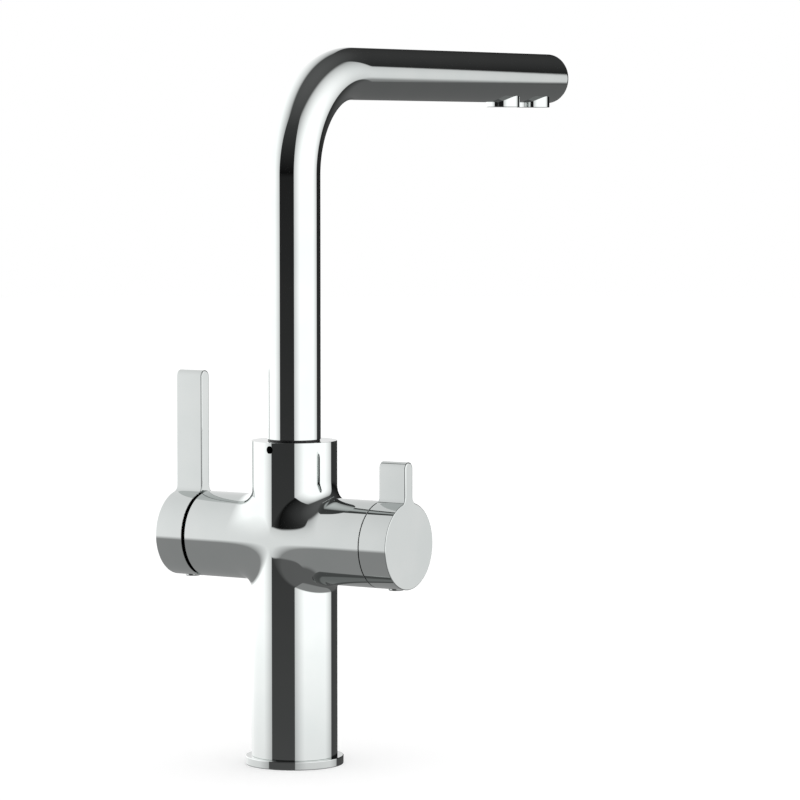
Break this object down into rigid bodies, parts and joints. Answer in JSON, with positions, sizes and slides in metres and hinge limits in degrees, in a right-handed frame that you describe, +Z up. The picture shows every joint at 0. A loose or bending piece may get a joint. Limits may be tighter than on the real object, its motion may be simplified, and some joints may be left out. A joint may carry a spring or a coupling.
{
  "type": "low-pressure mixer tap",
  "caption": "Chromed kitchen mixer tap for a vented water heater: swivelling L-shaped spout with separate mixed and filtered outlets, and a lever at each end of its cross arms.",
  "frame": {"origin": "centre of the deck stud hole in the underside, on the deck", "axes": "+Z up along the column, the spout at rest points to -Y (the user), the mixer lever is on the +X arm and the filtered water lever on the -X arm"},
  "size_m": [0.145, 0.2862, 0.3763],
  "materials": {
    "chrome_body": "polished chrome plating on brass",
    "chrome_flange": "polished chrome plating on brass",
    "chrome_spout": "polished chrome plating on brass tube",
    "chrome_levers": "polished chrome plating on zinc",
    "chrome_outlets": "polished chrome plating on brass",
    "chrome_plugs": "polished chrome plating",
    "brass": "machined",
    "copper_tube": "drawn tube",
    "rubber": "matt",
    "dark_plastic": "matt",
    "white_plastic": "moulded",
    "grey_plastic": "moulded",
    "ceramic": "lapped ceramic",
    "steel": "machined"
  },
  "bodies": {
    "body": {"body_casting": "chrome_body", "base_flange": "chrome_flange", "base_seal": "rubber", "inlet_core": "brass", "inlet_core_o_ring": "rubber", "cold_riser": "copper_tube", "hot_riser": "copper_tube", "heater_feed_riser": "copper_tube", "filter_riser": "copper_tube", "spout_slip_ring": "dark_plastic", "spout_set_screw": "steel", "filter_tube_o_ring": "rubber", "mixer_cartridge": "white_plastic", "mixer_port_seals": "rubber", "mixer_disc_seal": "rubber", "mixer_fixed_disc": "ceramic", "mixer_turret_ring": "steel", "mixer_clamp_nut": "brass", "filter_valve": "brass", "filter_seat_seal": "rubber", "filter_fixed_disc": "ceramic"},
    "spout": {"spout_tube": "chrome_spout", "spout_tail": "brass", "upper_bearing_ring": "white_plastic", "lower_bearing_ring": "white_plastic", "spout_o_rings": "rubber", "filter_tube": "white_plastic", "filter_outlet": "chrome_outlets", "mixed_outlet": "chrome_outlets", "filter_stream_former": "grey_plastic", "mixed_stream_former": "grey_plastic", "filter_screen": "steel", "mixed_screen": "steel", "filter_outlet_seal": "rubber", "mixed_outlet_seal": "rubber"},
    "mixer_turret": {"mixer_turret": "grey_plastic", "mixer_pivot_pin": "steel"},
    "mixer_lever": {"mixer_lever": "chrome_levers", "mixer_stem": "steel", "mixer_grub_screw": "steel", "mixer_screw_plug": "chrome_plugs"},
    "mixer_disc": {"mixer_moving_disc": "ceramic", "mixer_disc_carrier": "white_plastic"},
    "filter_lever": {"filter_lever": "chrome_levers", "filter_stem": "brass", "filter_moving_disc": "ceramic", "filter_grub_screw": "steel", "filter_screw_plug": "chrome_plugs", "filter_stem_o_ring": "rubber", "filter_stem_ring": "steel"}
  },
  "joints": [
    {"name": "spout_swivel", "type": "hinge", "parent": "body", "child": "spout", "pos_m": [0, 0, 0.15], "axis": [0, 0, 1], "range_deg": [-75, 75]},
    {"name": "mixer_temperature", "type": "hinge", "parent": "body", "child": "mixer_turret", "pos_m": [0.0689, 0, 0.1185], "axis": [1, 0, 0], "range_deg": [-45, 45]},
    {"name": "mixer_flow", "type": "hinge", "parent": "mixer_turret", "child": "mixer_lever", "pos_m": [0.0689, 0, 0.1185], "axis": [0, 1, 0], "range_deg": [0, 18]},
    {"name": "mixer_disc_slide", "type": "slide", "parent": "mixer_turret", "child": "mixer_disc", "axis": [0, 0, 1], "range_m": [0, 0.00378]},
    {"name": "filter_turn", "type": "hinge", "parent": "body", "child": "filter_lever", "pos_m": [-0.06, 0, 0.1185], "axis": [1, 0, 0], "range_deg": [0, 90]}
  ],
  "couplings": [
    {"joint": "mixer_disc_slide", "follows": "mixer_flow", "m_per_rad": 0.012}
  ]
}
